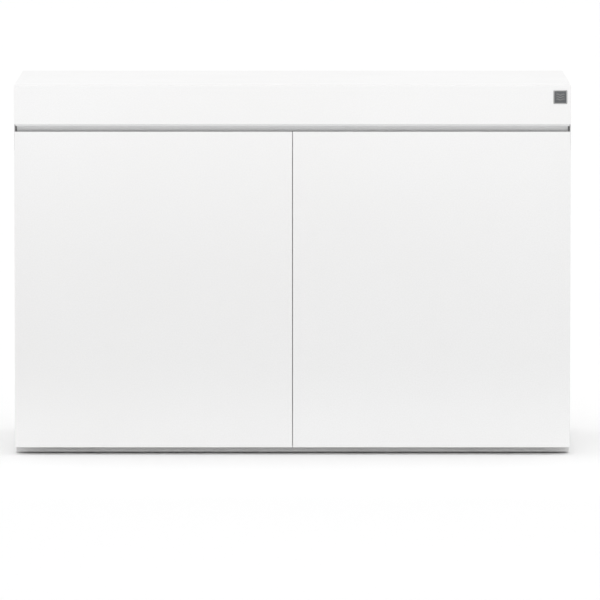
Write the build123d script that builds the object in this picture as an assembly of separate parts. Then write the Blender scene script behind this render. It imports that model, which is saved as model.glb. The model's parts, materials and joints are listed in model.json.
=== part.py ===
"""White two-door aquarium stand cabinet, in millimetres.

The origin is on the floor under the middle of the cabinet: +X to the right, -Y to the
front, +Z up. Each piece is written to its own STEP file in parts/.
"""
import math
import os

from build123d import *

# Overall size
WIDTH = 1200.0
DEPTH = 600.0
HEIGHT = 800.0

# Boards
BOARD = 18.0
DOOR_BOARD = 16.0
BACK_BOARD = 16.0
PLINTH_BOARD = 13.0
EDGE_RADIUS = 1.0
JOINT_RADIUS = 0.4

# Front: fascia, groove and doors
FASCIA_HEIGHT = 85.0
GROOVE_HEIGHT = 16.0
DOOR_REVEAL = 1.0
DOOR_GAP = 1.5
DOOR_STANDOFF = 2.0
BACK_INSET = 2.0

# Base
FOOT_CLEARANCE = 3.0
PLINTH_WIDTH = 100.0
PLINTH_FRONT_INSET = 40.0
PLINTH_SIDE_INSET = 2.0
FOOT_PITCH_X = 530.0
FOOT_PITCH_Y = 210.0
STEM_RADIUS = 4.0
PAD_FLOOR = 1.6
PAD_RECESS_RADIUS = 20.5
PAD_RECESS_DEPTH = 2.0
SOCKET_RADIUS = 6.5
SOCKET_FLANGE_RADIUS = 12.0
SOCKET_FLANGE = 1.5
ACCESS_HOLE_RADIUS = 7.0
RUNNING_CLEARANCE = 0.05

# Finger channel behind the groove
CHANNEL_DEPTH = 26.0
CHANNEL_HEIGHT = 57.0
CHANNEL_WALL = 1.5
CHANNEL_CORNER = 4.0
CHANNEL_LIP = 3.0
CHANNEL_PLAY = 0.3
CAP_PLATE = 2.0
CAP_LINING = 3.0
BRACKET_WIDTH = 30.0
BRACKET_STEEL = 2.0
RAIL_HEIGHT = 60.0

# Cup hinges, one pivot each: u runs inwards from the cabinet's outer side and
# v runs forwards from the front edge of the carcass
HINGE_HEIGHTS = (115.0, 595.0)
CUP_EDGE_DISTANCE = 3.0
CUP_RADIUS = 17.5
CUP_DEPTH = 13.0
CUP_WALL = 0.8
CUP_FLANGE = 1.2
PIVOT_EDGE_DISTANCE = 6.6
PIVOT_DEPTH = 9.6
PIN_RADIUS = 1.1
ARM_THICKNESS = 2.4
ARM_HALF_WIDTH = 4.0
ARM_EYE_RADIUS = 2.1
ARM_WEB = (29.6, 32.0)
ARM_CHANNEL_HALF = 8.0
ARM_FLANGE = 1.5
ARM_LENGTH = (-66.0, -16.0)
ARM_SCREW_ROWS = (-32.0, -54.0)
PLATE_STEEL = 2.2
PLATE_LENGTH = (-64.0, -24.0)
PLATE_HALF_WIDTH = 9.0
WING_HALF_SPAN = 25.0
WING_HALF_WIDTH = 6.0
RAIL_LENGTH = (-62.0, -26.0)
RAIL_HALF_WIDTH = 5.0
CUP_SCREW_SPACING = 48.0
CUP_SCREW_OFFSET = 6.0
EAR_WIDTH = 13.0
LUG_CLEARANCE = 0.3
LUG_THICKNESS = 5.7
PLATE_SETBACK = 37.0
PLATE_SCREW_SPACING = 32.0

# Openings in the back
HOSE_SLOT_LENGTH = 200.0
HOSE_SLOT_HEIGHT = 60.0
HOSE_SLOT_X = 420.0
HOSE_SLOT_Z = 672.0
CABLE_HOLE_RADIUS = 30.0
CABLE_BORE_RADIUS = 25.0
CABLE_HOLE_X = 110.0
CABLE_HOLE_Z = 110.0
TRIM = 1.5

# Badge
BADGE_WIDTH = 30.0
BADGE_SIDE_MARGIN = 8.0
BADGE_TOP_MARGIN = 11.0
BADGE_THICKNESS = 1.2
BADGE_POCKET = 0.6

# Knock-down fittings
CAM_RADIUS = 7.5
CAM_DEPTH = 12.5
CAM_DISTANCE = 34.0
BOLT_RADIUS = 3.0
BOLT_HOLE_RADIUS = 4.0
BOLT_THREAD = 11.0
DOWEL_RADIUS = 4.0
DOWEL_LENGTH = 30.0
DOWEL_REACH = 12.0
BOLT_COLLAR = 2.0

# Countersunk screws: length, shank radius, head radius, depth of the head
FASCIA_SCREW = (30.0, 2.0, 4.0, 2.6)
BACK_SCREW = (32.0, 2.0, 4.0, 2.6)
PLINTH_SCREW = (25.0, 2.0, 4.0, 2.6)
RAIL_SCREW = (16.0, 1.75, 3.5, 2.0)
CHANNEL_SCREW = (7.0, 1.75, 3.5, 2.0)
ARM_SCREW = (9.0, 2.0, 3.8, 1.6)
PLATE_SCREW = (13.0, 2.5, 4.2, 2.0)
CUP_SCREW = (13.0, 1.75, 3.6, 1.6)

# Planes worked out from the sizes above
LEFT = -WIDTH / 2
RIGHT = WIDTH / 2
FRONT = -DEPTH / 2
REAR = DEPTH / 2
CARCASS_FRONT = FRONT + BOARD
DOOR_BACK = CARCASS_FRONT - DOOR_STANDOFF
BACK_REAR = REAR - BACK_INSET
BACK_FRONT = BACK_REAR - BACK_BOARD
PLINTH_TOP = FOOT_CLEARANCE + PLINTH_BOARD
SOCKET_BOTTOM = FOOT_CLEARANCE + PAD_RECESS_DEPTH
FLOOR_TOP = PLINTH_TOP + BOARD
TOP_UNDERSIDE = HEIGHT - BOARD
FASCIA_BOTTOM = HEIGHT - FASCIA_HEIGHT
DOOR_TOP = FASCIA_BOTTOM - GROOVE_HEIGHT
CHANNEL_BOTTOM = FASCIA_BOTTOM - CHANNEL_HEIGHT
CHANNEL_REAR = CARCASS_FRONT + CHANNEL_DEPTH
INNER_RIGHT = RIGHT - BOARD
HALF_BOARD = BOARD / 2
RAIL_BOTTOM = TOP_UNDERSIDE - RAIL_HEIGHT
PLINTH_RIGHT = RIGHT - PLINTH_SIDE_INSET
PLINTH_FRONT = FRONT + PLINTH_FRONT_INSET
PLINTH_REAR = -PLINTH_FRONT
CUP_CENTRE_U = DOOR_REVEAL + CUP_EDGE_DISTANCE + CUP_RADIUS
CUP_INNER = CUP_RADIUS - CUP_WALL
PIVOT_U = DOOR_REVEAL + PIVOT_EDGE_DISTANCE
PIVOT_V = DOOR_STANDOFF + PIVOT_DEPTH

# Rows of fittings, shared by the boards that they join
CAM_ROWS = (-200.0, 0.0, 200.0)
DOWEL_ROWS = (-110.0, 110.0)
DIVIDER_CAM_ROWS = (-150.0, 150.0)
FASCIA_SCREW_COLUMNS = (-520.0, -300.0, -100.0, 100.0, 300.0, 520.0)
BRACKET_COLUMNS = (-400.0, -200.0, 200.0, 400.0)
BACK_SCREW_COLUMNS = (60.0, 200.0, 380.0, 520.0)
PLINTH_SCREW_COLUMNS = (-400.0, -150.0, 150.0, 400.0)
CROSS_SCREW_ROWS = (-70.0, 70.0)
CROSS_RAIL_CENTRES = (
    PLINTH_WIDTH / 2 - PLINTH_RIGHT,
    0.0,
    PLINTH_RIGHT - PLINTH_WIDTH / 2,
)
FEET = {
    "front_left": (-FOOT_PITCH_X, -FOOT_PITCH_Y),
    "front_centre": (0.0, -FOOT_PITCH_Y),
    "front_right": (FOOT_PITCH_X, -FOOT_PITCH_Y),
    "rear_left": (-FOOT_PITCH_X, FOOT_PITCH_Y),
    "rear_centre": (0.0, FOOT_PITCH_Y),
    "rear_right": (FOOT_PITCH_X, FOOT_PITCH_Y),
}


# ---------------------------------------------------------------- shared shapes

def block(x, y, z):
    """A box, each axis given as (low, high)."""
    size = [high - low for low, high in (x, y, z)]
    middle = [(high + low) / 2 for low, high in (x, y, z)]
    return Pos(*middle) * Box(*size)


def board(x, y, z, radius=JOINT_RADIUS):
    """A panel with softened edges."""
    panel = block(x, y, z)
    return fillet(panel.edges(), radius)


def rod(start, direction, radius, length):
    """A round bar from its start point along a direction."""
    plane = Plane(origin=start, z_dir=direction)
    return extrude(plane * Circle(radius), amount=length)


def turned(start, direction, outline):
    """A turned piece. The outline lists (radius, distance along the axis)."""
    face = make_face(Polyline(*outline, close=True))
    return Plane(origin=start, z_dir=direction) * revolve(Plane.XZ * face, axis=Axis.Z)


def cross_recess(start, direction, size, depth):
    """The cross cut into a screw's head."""
    slot = Pos(0, 0, depth / 2) * (Box(size, size / 5, depth) + Box(size / 5, size, depth))
    return Plane(origin=start, z_dir=direction) * slot


def screw_body(start, direction, length, shank, head, sink):
    """A screw's outside: flat face, tapered head of depth sink, shank and point."""
    outline = [
        (0, 0),
        (head, 0),
        (shank, sink),
        (shank, length - 2 * shank),
        (0, length),
    ]
    return turned(start, direction, outline)


def screw(start, direction, length, shank, head, sink):
    """A countersunk cross-head screw."""
    body = screw_body(start, direction, length, shank, head, sink)
    return body - cross_recess(start, direction, head * 1.1, sink * 0.7)


def grouped(pieces):
    """One node that holds several separate solids."""
    return Compound([solid for piece in pieces for solid in piece.solids()])


def mirrored(pieces):
    """The same pieces on the other side of the cabinet."""
    return [mirror(piece, about=Plane.YZ) for piece in pieces]


def both_sides(pieces):
    return pieces + mirrored(pieces)


def drilled(panel, tools):
    """A panel with a list of solids cut out of it."""
    for tool in tools:
        panel = panel - tool
    return panel


# ------------------------------------------------------------ knock-down fittings

def fitting_sites():
    """Every cam fitting as (cam centre on the board's face, face inwards, bolt direction)."""
    sites = []
    for side in (-1, 1):
        face = side * INNER_RIGHT
        for y in CAM_ROWS:
            top_cam = (face, y, TOP_UNDERSIDE - CAM_DISTANCE)
            sites.append((top_cam, (side, 0, 0), (0, 0, 1)))
            floor_cam = (face - side * CAM_DISTANCE, y, PLINTH_TOP)
            sites.append((floor_cam, (0, 0, 1), (side, 0, 0)))
    for y in DIVIDER_CAM_ROWS:
        divider_cam = (HALF_BOARD, y, TOP_UNDERSIDE - CAM_DISTANCE)
        sites.append((divider_cam, (-1, 0, 0), (0, 0, 1)))
    return sites


def bolt_start(centre, inwards):
    """The cam's middle point, at half the board's thickness."""
    return tuple(c + HALF_BOARD * n for c, n in zip(centre, inwards))


def cam_bolt(site, radius):
    """The straight round shape of a bolt, from its cam to the end of its thread."""
    centre, inwards, along = site
    return rod(bolt_start(centre, inwards), along, radius, CAM_DISTANCE + BOLT_THREAD)


def cam_lock(site):
    """A zinc cam: a short drum with a cross recess, and a mouth for the bolt's head."""
    centre, inwards, _ = site
    drum = rod(centre, inwards, CAM_RADIUS, CAM_DEPTH)
    recess = cross_recess(centre, inwards, CAM_RADIUS * 1.2, 2.5)
    return drum - cam_bolt(site, BOLT_HOLE_RADIUS) - recess


def cam_bolt_piece(site):
    """The steel bolt, with the collar that stops it at the board's face."""
    centre, inwards, along = site
    start = bolt_start(centre, inwards)
    edge = tuple(s + (CAM_DISTANCE - BOLT_COLLAR) * a for s, a in zip(start, along))
    collar = rod(edge, along, BOLT_HOLE_RADIUS - RUNNING_CLEARANCE, BOLT_COLLAR)
    return cam_bolt(site, BOLT_RADIUS) + collar


def cam_cuts():
    """Pockets, bolt holes and thread holes for all cam fittings."""
    cuts = []
    for site in fitting_sites():
        centre, inwards, along = site
        cuts.append(rod(centre, inwards, CAM_RADIUS, CAM_DEPTH))
        cuts.append(rod(bolt_start(centre, inwards), along, BOLT_HOLE_RADIUS, CAM_DISTANCE))
        cuts.append(cam_bolt(site, BOLT_RADIUS))
    return cuts


def dowels():
    """Beech dowels between the sides and the top and floor, and over the divider."""
    pieces = []
    half = DOWEL_LENGTH / 2
    side_middle = INNER_RIGHT + HALF_BOARD
    for y in DOWEL_ROWS:
        for x in (-side_middle, 0.0, side_middle):
            start = (x, y, TOP_UNDERSIDE - DOWEL_LENGTH + DOWEL_REACH)
            pieces.append(rod(start, (0, 0, 1), DOWEL_RADIUS, DOWEL_LENGTH))
        for side in (-1, 1):
            start = (side * (INNER_RIGHT + DOWEL_REACH), y, PLINTH_TOP + HALF_BOARD)
            pieces.append(rod(start, (-side, 0, 0), DOWEL_RADIUS, DOWEL_REACH + half))
    return pieces


# -------------------------------------------------------------- screws in the boards

def fascia_screws(make=screw):
    """Screws from behind the front rail into the fascia."""
    height = TOP_UNDERSIDE - 20.0
    back = CARCASS_FRONT + BOARD
    return [make((x, back, height), (0, -1, 0), *FASCIA_SCREW) for x in FASCIA_SCREW_COLUMNS]


def back_panel_screws(make=screw):
    """Screws through the back panels into the floor and the rear rails."""
    pieces = []
    for x in BACK_SCREW_COLUMNS:
        for z in (PLINTH_TOP + HALF_BOARD, RAIL_BOTTOM + RAIL_HEIGHT / 2):
            for side in (-1, 1):
                pieces.append(make((side * x, BACK_REAR, z), (0, -1, 0), *BACK_SCREW))
    return pieces


def plinth_screws(make=screw):
    """Screws up through the plinth strips into the floor of the cabinet."""
    sites = [(x, side * FOOT_PITCH_Y) for x in PLINTH_SCREW_COLUMNS for side in (-1, 1)]
    sites += [(x, y) for x in CROSS_RAIL_CENTRES for y in CROSS_SCREW_ROWS]
    return [make((x, y, FOOT_CLEARANCE), (0, 0, 1), *PLINTH_SCREW) for x, y in sites]


# ------------------------------------------------------------------------ carcass

def front_corner():
    """Top and fascia as one mitred corner, before it is parted."""
    outline = Polyline(
        (FRONT, HEIGHT),
        (REAR, HEIGHT),
        (REAR, TOP_UNDERSIDE),
        (CARCASS_FRONT, TOP_UNDERSIDE),
        (CARCASS_FRONT, FASCIA_BOTTOM),
        (FRONT, FASCIA_BOTTOM),
        close=True,
    )
    profile = Plane.YZ * make_face(outline)
    slab = extrude(profile, amount=WIDTH / 2, both=True)
    top_face = slab.faces().sort_by(Axis.Z)[-1]
    front_face = slab.faces().sort_by(Axis.Y)[0]
    rest_of_front = front_face.edges().sort_by(Axis.Z)[:-1]
    return fillet(top_face.edges() + rest_of_front, EDGE_RADIUS)


def mitre_plane():
    return Plane(origin=(0, FRONT, HEIGHT), z_dir=(0, 1, 1))


def top_panel():
    panel = split(front_corner(), bisect_by=mitre_plane(), keep=Keep.TOP)
    return drilled(panel, cam_cuts() + dowels())


def badge_outline(margin, low, high):
    """The badge's rounded square, grown by a margin, between two depths."""
    middle_x = RIGHT - BADGE_SIDE_MARGIN - BADGE_WIDTH / 2
    middle_z = HEIGHT - BADGE_TOP_MARGIN - BADGE_WIDTH / 2
    size = BADGE_WIDTH + 2 * margin
    plane = Plane(origin=(middle_x, low, middle_z), z_dir=(0, 1, 0))
    return extrude(plane * RectangleRounded(size, size, 2.0 + margin), amount=high - low)


def badge_plate():
    front = FRONT + BADGE_POCKET - BADGE_THICKNESS
    plate = badge_outline(0.0, front, FRONT + BADGE_POCKET)
    rim = plate.faces().sort_by(Axis.Y)[0].edges()
    return chamfer(rim, 0.4)


def fascia_panel():
    panel = split(front_corner(), bisect_by=mitre_plane(), keep=Keep.BOTTOM)
    pocket = badge_outline(0.0, FRONT - 1.0, FRONT + BADGE_POCKET)
    return drilled(panel, [pocket] + fascia_screws(screw_body))


def channel_notch(x):
    """The rounded notch that lets the finger channel through an upright board."""
    y = (CARCASS_FRONT - 1.0, CHANNEL_REAR + CHANNEL_PLAY)
    z = (CHANNEL_BOTTOM - CHANNEL_PLAY, FASCIA_BOTTOM + CHANNEL_PLAY)
    notch = block(x, y, z)
    rear = notch.edges().filter_by(Axis.X).group_by(Axis.Y)[-1]
    return fillet(rear, CHANNEL_CORNER)


def right_side_panel():
    panel = board(
        (INNER_RIGHT, RIGHT),
        (CARCASS_FRONT, REAR),
        (PLINTH_TOP, TOP_UNDERSIDE),
    )
    notch = channel_notch((INNER_RIGHT - 1, RIGHT + 1))
    screws = mirrored(hinge_plate_screws(screw_body))
    return drilled(panel, [notch] + cam_cuts() + dowels() + screws)


def left_side_panel():
    return mirror(right_side_panel(), about=Plane.YZ)


def centre_divider():
    panel = board(
        (-HALF_BOARD, HALF_BOARD),
        (CARCASS_FRONT, BACK_FRONT),
        (FLOOR_TOP, TOP_UNDERSIDE),
    )
    rail_notch = block(
        (-HALF_BOARD, HALF_BOARD),
        (CARCASS_FRONT, CARCASS_FRONT + BOARD),
        (RAIL_BOTTOM, TOP_UNDERSIDE),
    )
    notch = channel_notch((-HALF_BOARD - 1, HALF_BOARD + 1))
    return drilled(panel, [notch, rail_notch] + cam_cuts() + dowels())


def bottom_panel():
    panel = board((-INNER_RIGHT, INNER_RIGHT), (CARCASS_FRONT, BACK_FRONT), (PLINTH_TOP, FLOOR_TOP))
    holes = []
    for x, y in FEET.values():
        depth = BOARD if x else BOARD - 1.0
        holes.append(rod((x, y, PLINTH_TOP), (0, 0, 1), ACCESS_HOLE_RADIUS, depth))
    screws = plinth_screws(screw_body) + back_panel_screws(screw_body)
    return drilled(panel, holes + cam_cuts() + dowels() + screws)


def slot_shape(margin, low, high):
    """The rounded hose slot, grown by a margin, between two depths."""
    length = HOSE_SLOT_LENGTH + 2 * margin
    height = HOSE_SLOT_HEIGHT + 2 * margin
    plane = Plane(origin=(HOSE_SLOT_X, low, HOSE_SLOT_Z), x_dir=(-1, 0, 0), z_dir=(0, 1, 0))
    return extrude(plane * SlotOverall(length, height), amount=high - low)


def right_back_panel():
    panel = board(
        (0.5, INNER_RIGHT - 0.5),
        (BACK_FRONT, BACK_REAR),
        (PLINTH_TOP + 0.5, TOP_UNDERSIDE),
    )
    slot = slot_shape(0.0, BACK_FRONT - 1, BACK_REAR + 1)
    start = (CABLE_HOLE_X, BACK_FRONT - 1, CABLE_HOLE_Z)
    cable_hole = rod(start, (0, 1, 0), CABLE_HOLE_RADIUS, BACK_BOARD + 2)
    return drilled(panel, [slot, cable_hole] + back_panel_screws(screw_body))


def left_back_panel():
    return mirror(right_back_panel(), about=Plane.YZ)


def front_top_rail():
    rail = board(
        (-INNER_RIGHT, INNER_RIGHT),
        (CARCASS_FRONT, CARCASS_FRONT + BOARD),
        (RAIL_BOTTOM, TOP_UNDERSIDE),
    )
    return drilled(rail, fascia_screws(screw_body) + channel_screws(screw_body))


def rear_top_rails():
    rail = board(
        (HALF_BOARD, INNER_RIGHT),
        (BACK_FRONT - BOARD, BACK_FRONT),
        (RAIL_BOTTOM, TOP_UNDERSIDE),
    )
    rail = drilled(rail, back_panel_screws(screw_body))
    return grouped(both_sides([rail]))


# -------------------------------------------------------------------- trims in the back

def hose_slot_trims():
    """A rubber edging with a lip on each face of the board."""
    web = slot_shape(0.0, BACK_FRONT, BACK_REAR) - slot_shape(-2.0, BACK_FRONT, BACK_REAR)
    lips = []
    for low in (BACK_FRONT - TRIM, BACK_REAR):
        high = low + TRIM
        lips.append(slot_shape(5.0, low, high) - slot_shape(-2.0, low, high))
    return grouped(both_sides([web + lips[0] + lips[1]]))


def cable_grommets():
    """A plastic tube with a flange outside and a snap rim inside."""
    start = (CABLE_HOLE_X, BACK_FRONT - TRIM, CABLE_HOLE_Z)
    length = BACK_BOARD + 2 * TRIM
    outline = [
        (CABLE_BORE_RADIUS, 0),
        (CABLE_HOLE_RADIUS + 1.0, 0),
        (CABLE_HOLE_RADIUS + 1.0, TRIM),
        (CABLE_HOLE_RADIUS, TRIM),
        (CABLE_HOLE_RADIUS, TRIM + BACK_BOARD),
        (CABLE_HOLE_RADIUS + 5.0, TRIM + BACK_BOARD),
        (CABLE_HOLE_RADIUS + 4.0, length),
        (CABLE_BORE_RADIUS, length),
    ]
    return grouped(both_sides([turned(start, (0, 1, 0), outline)]))


# ---------------------------------------------------------------- finger channel

def channel_section(inset, front):
    """The channel's outline in the Y-Z plane, moved in by an inset."""
    y = (front, CHANNEL_REAR - inset)
    z = (CHANNEL_BOTTOM + inset, FASCIA_BOTTOM - inset)
    middle = ((y[0] + y[1]) / 2, (z[0] + z[1]) / 2)
    face = Pos(*middle) * Rectangle(y[1] - y[0], z[1] - z[0])
    rear = face.vertices().group_by(Axis.X)[-1]
    return fillet(rear, CHANNEL_CORNER - inset)


def channel_length(section, low, high):
    plane = Plane(origin=(low, 0, 0), x_dir=(0, 1, 0), z_dir=(1, 0, 0))
    return extrude(plane * section, amount=high - low)


def finger_channel():
    """An aluminium C profile with lips that turn in at its mouth."""
    end = RIGHT - CAP_PLATE - 0.5
    outer = channel_section(0.0, CARCASS_FRONT)
    hollow = channel_section(CHANNEL_WALL, CARCASS_FRONT + CHANNEL_WALL)
    mouth_height = CHANNEL_HEIGHT - 2 * (CHANNEL_LIP + CHANNEL_WALL)
    mouth_middle = (CARCASS_FRONT, CHANNEL_BOTTOM + CHANNEL_HEIGHT / 2)
    mouth = Pos(*mouth_middle) * Rectangle(4 * CHANNEL_WALL, mouth_height)
    profile = channel_length(outer - hollow - mouth, -end, end)
    return drilled(profile, channel_screws(screw_body))


def finger_channel_end_caps():
    """A plug that closes each end of the channel, with a lining that grips inside it."""
    inner_end = RIGHT - CAP_PLATE
    plate = channel_length(channel_section(0.0, CARCASS_FRONT), inner_end, RIGHT)
    inset = CHANNEL_WALL + 0.1
    front = CARCASS_FRONT + CHANNEL_WALL + 0.1
    outside = channel_section(inset, front)
    inside = channel_section(inset + 1.5, front - 1.0)
    lining = channel_length(outside - inside, inner_end - CAP_LINING, inner_end)
    return grouped(both_sides([plate + lining]))


def finger_channel_brackets():
    """Steel angles from the back of the front rail to the top of the channel."""
    back = CARCASS_FRONT + BOARD
    pieces = []
    for x in BRACKET_COLUMNS:
        span = (x - BRACKET_WIDTH / 2, x + BRACKET_WIDTH / 2)
        rear = back + BRACKET_STEEL
        wall = block(span, (back, rear), (FASCIA_BOTTOM, RAIL_BOTTOM + 26.0))
        foot_height = (FASCIA_BOTTOM, FASCIA_BOTTOM + BRACKET_STEEL)
        foot = block(span, (CARCASS_FRONT + 2.0, rear), foot_height)
        pieces.append(drilled(wall + foot, channel_screws(screw_body)))
    return grouped(pieces)


def channel_screws(make=screw):
    """Two screws for each bracket: into the rail, and down into the channel."""
    pieces = []
    for x in BRACKET_COLUMNS:
        rail_head = (x, CARCASS_FRONT + BOARD + BRACKET_STEEL, RAIL_BOTTOM + 14.0)
        pieces.append(make(rail_head, (0, -1, 0), *RAIL_SCREW))
        channel_head = (x, CARCASS_FRONT + 10.0, FASCIA_BOTTOM + BRACKET_STEEL)
        pieces.append(make(channel_head, (0, 0, -1), *CHANNEL_SCREW))
    return pieces


# ------------------------------------------------------------------------- hinges

def plan(u, v):
    """A point beside the left side panel, as (x, y)."""
    return (LEFT + u, CARCASS_FRONT - v)


def hinge_block(u, v, z):
    """A box beside the left side panel, each axis given as (low, high)."""
    x = (LEFT + u[0], LEFT + u[1])
    y = (CARCASS_FRONT - v[1], CARCASS_FRONT - v[0])
    return block(x, y, z)


def strip(points, thickness):
    """A bent strip's plan outline: straight runs with round joins."""
    outline = None
    for start, end in zip(points, points[1:]):
        middle = ((start[0] + end[0]) / 2, (start[1] + end[1]) / 2)
        length = math.dist(start, end)
        turn = math.degrees(math.atan2(end[1] - start[1], end[0] - start[0]))
        run = Pos(*middle) * Rot(0, 0, turn) * Rectangle(length, thickness)
        piece = run + Pos(*start) * Circle(thickness / 2) + Pos(*end) * Circle(thickness / 2)
        outline = piece if outline is None else outline + piece
    return outline


def upright(outline, low, high):
    """A plan outline raised between two heights."""
    return extrude(Pos(0, 0, low) * outline, amount=high - low)


def arm(height):
    """A gooseneck arm: eye, bent neck, and a channel that sits on the mounting plate."""
    neck_points = [
        plan(PIVOT_U, PIVOT_V + 0.4),
        plan(PIVOT_U + 11.4, PIVOT_V + 0.6),
        plan(PIVOT_U + 13.2, PIVOT_V - 1.6),
        plan(PIVOT_U + 13.6, PIVOT_V - 14.0),
        plan(PIVOT_U + 23.2, PIVOT_V - 26.0),
        plan(PIVOT_U + 23.2, PIVOT_V - 34.0),
    ]
    outline = strip(neck_points, ARM_THICKNESS) + Pos(*plan(PIVOT_U, PIVOT_V)) * Circle(ARM_EYE_RADIUS)
    outline -= Pos(*plan(PIVOT_U, PIVOT_V)) * Circle(PIN_RADIUS + RUNNING_CLEARANCE)
    neck = upright(outline, height - ARM_HALF_WIDTH, height + ARM_HALF_WIDTH)
    whole_width = (height - ARM_CHANNEL_HALF, height + ARM_CHANNEL_HALF)
    body = hinge_block(ARM_WEB, ARM_LENGTH, whole_width)
    for low in (whole_width[0], whole_width[1] - ARM_FLANGE):
        flange_depth = (BOARD + 5.0, ARM_WEB[1])
        body = body + hinge_block(flange_depth, ARM_LENGTH, (low, low + ARM_FLANGE))
    return drilled(neck + body, arm_screws(height, screw_body))


def arm_screws(height, make=screw):
    """The two screws that hold and adjust an arm on its plate."""
    pieces = []
    for v in ARM_SCREW_ROWS:
        x, y = plan(ARM_WEB[1] + 0.6, v)
        pieces.append(make((x, y, height), (-1, 0, 0), *ARM_SCREW))
    return pieces


def mounting_plate(height):
    """A cross-shaped plate with a raised rail that carries the arm."""
    steel = (BOARD, BOARD + PLATE_STEEL)

    def across(half):
        return (height - half, height + half)

    foot = hinge_block(steel, PLATE_LENGTH, across(PLATE_HALF_WIDTH))
    wing_v = (-PLATE_SETBACK - WING_HALF_WIDTH, -PLATE_SETBACK + WING_HALF_WIDTH)
    wings = hinge_block(steel, wing_v, across(WING_HALF_SPAN))
    wings = fillet(wings.edges().filter_by(Axis.X), WING_HALF_WIDTH - 0.5)
    rail = hinge_block((steel[1], ARM_WEB[0]), RAIL_LENGTH, across(RAIL_HALF_WIDTH))
    plate = foot + wings + rail
    screws = arm_screws(height, screw_body)
    return drilled(plate, screws + hinge_plate_screws(screw_body))


def hinge_plate_screws(make=screw):
    """Screws of the left side's mounting plates, into the side panel."""
    pieces = []
    for height in HINGE_HEIGHTS:
        for offset in (-PLATE_SCREW_SPACING / 2, PLATE_SCREW_SPACING / 2):
            x, y = plan(BOARD + PLATE_STEEL, -PLATE_SETBACK)
            pieces.append(make((x, y, height + offset), (-1, 0, 0), *PLATE_SCREW))
    return pieces


def cup_axis(height, depth):
    """The point on a cup's axis at a depth below the back of the door."""
    x, _ = plan(CUP_CENTRE_U, 0)
    return (x, DOOR_BACK - depth, height)


def cup_flange(height):
    """The flange that lies on the back of the door, with an ear for each screw."""
    plane = Plane(origin=cup_axis(height, 0), x_dir=(1, 0, 0), z_dir=(0, 1, 0))
    ears = SlotCenterToCenter(CUP_SCREW_SPACING, EAR_WIDTH)
    ears = Pos(CUP_SCREW_OFFSET, 0) * Rot(0, 0, 90) * ears
    outline = Circle(CUP_RADIUS + 1.6) + ears
    near_edge = Pos(-CUP_RADIUS - 10.0, 0) * Rectangle(20.0, 60.0)
    outline = outline - near_edge - Circle(CUP_INNER)
    return extrude(plane * outline, amount=CUP_FLANGE)


def cup_bore(height):
    return rod(cup_axis(height, 0), (0, -1, 0), CUP_RADIUS, CUP_DEPTH)


def hinge_pin(height):
    """The pivot pin, held at both ends in the cup's lugs."""
    x, y = plan(PIVOT_U, PIVOT_V)
    return rod((x, y, height - 7.5), (0, 0, 1), PIN_RADIUS, 15.0)


def hinge_cup(height):
    """A pressed cup with two lugs that hold the pivot pin."""
    shell = cup_bore(height) - rod(cup_axis(height, 0), (0, -1, 0), CUP_INNER, CUP_DEPTH - CUP_WALL)
    lugs = []
    start = ARM_HALF_WIDTH + LUG_CLEARANCE
    for low in (-start - LUG_THICKNESS, start):
        span = (height + low, height + low + LUG_THICKNESS)
        u = (PIVOT_U - 3.0, PIVOT_U + 2.6)
        lugs.append(hinge_block(u, (DOOR_STANDOFF + 5.0, DOOR_STANDOFF + CUP_DEPTH - 0.4), span))
    inside = rod(cup_axis(height, 0), (0, -1, 0), CUP_RADIUS - 0.2, CUP_DEPTH)
    cup = shell + (lugs[0] & inside) + (lugs[1] & inside) + cup_flange(height)
    return drilled(cup, [hinge_pin(height)] + cup_screws_at(height, screw_body))


def cup_screws_at(height, make=screw):
    x, _ = plan(CUP_CENTRE_U + CUP_SCREW_OFFSET, 0)
    y = DOOR_BACK + CUP_FLANGE
    pieces = []
    for offset in (-CUP_SCREW_SPACING / 2, CUP_SCREW_SPACING / 2):
        pieces.append(make((x, y, height + offset), (0, -1, 0), *CUP_SCREW))
    return pieces


def left_cup_screws(make=screw):
    return [piece for height in HINGE_HEIGHTS for piece in cup_screws_at(height, make)]


# -------------------------------------------------------------------------- doors

def left_door():
    door = board(
        (LEFT + DOOR_REVEAL, -DOOR_GAP / 2),
        (FRONT, DOOR_BACK),
        (PLINTH_TOP, DOOR_TOP),
        EDGE_RADIUS,
    )
    cups = [cup_bore(height) for height in HINGE_HEIGHTS]
    return drilled(door, cups + left_cup_screws(screw_body))


def door_bumpers():
    """Soft clear domes on the back of the left door, at its free edge."""
    height = DOOR_STANDOFF - 0.15
    outline = [(0, 0), (3.4, 0), (3.2, height * 0.5), (2.2, height * 0.88), (0, height)]
    pieces = []
    for z in (DOOR_TOP - 60.0, PLINTH_TOP + 60.0):
        pieces.append(turned((-5.2, DOOR_BACK, z), (0, 1, 0), outline))
    return pieces


# ------------------------------------------------------------------- plinth and feet

def socket_outline(inner):
    """Half the section of a flanged socket, from an inner radius outwards."""
    height = PLINTH_BOARD - PAD_RECESS_DEPTH
    return [
        (inner, 0),
        (SOCKET_FLANGE_RADIUS, 0),
        (SOCKET_FLANGE_RADIUS, SOCKET_FLANGE),
        (SOCKET_RADIUS, SOCKET_FLANGE),
        (SOCKET_RADIUS, height),
        (inner, height),
    ]


def foot_sockets():
    """Steel threaded sockets with a flange let into the plinth strips."""
    outline = socket_outline(STEM_RADIUS + RUNNING_CLEARANCE)
    return [turned((x, y, SOCKET_BOTTOM), (0, 0, 1), outline) for x, y in FEET.values()]


def socket_cuts():
    """The stepped holes for the sockets, each with a wider recess below for its pad."""
    cuts = []
    for x, y in FEET.values():
        recess = rod((x, y, FOOT_CLEARANCE), (0, 0, 1), PAD_RECESS_RADIUS, PAD_RECESS_DEPTH)
        cuts.append(recess + turned((x, y, SOCKET_BOTTOM), (0, 0, 1), socket_outline(0)))
    return cuts


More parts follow.
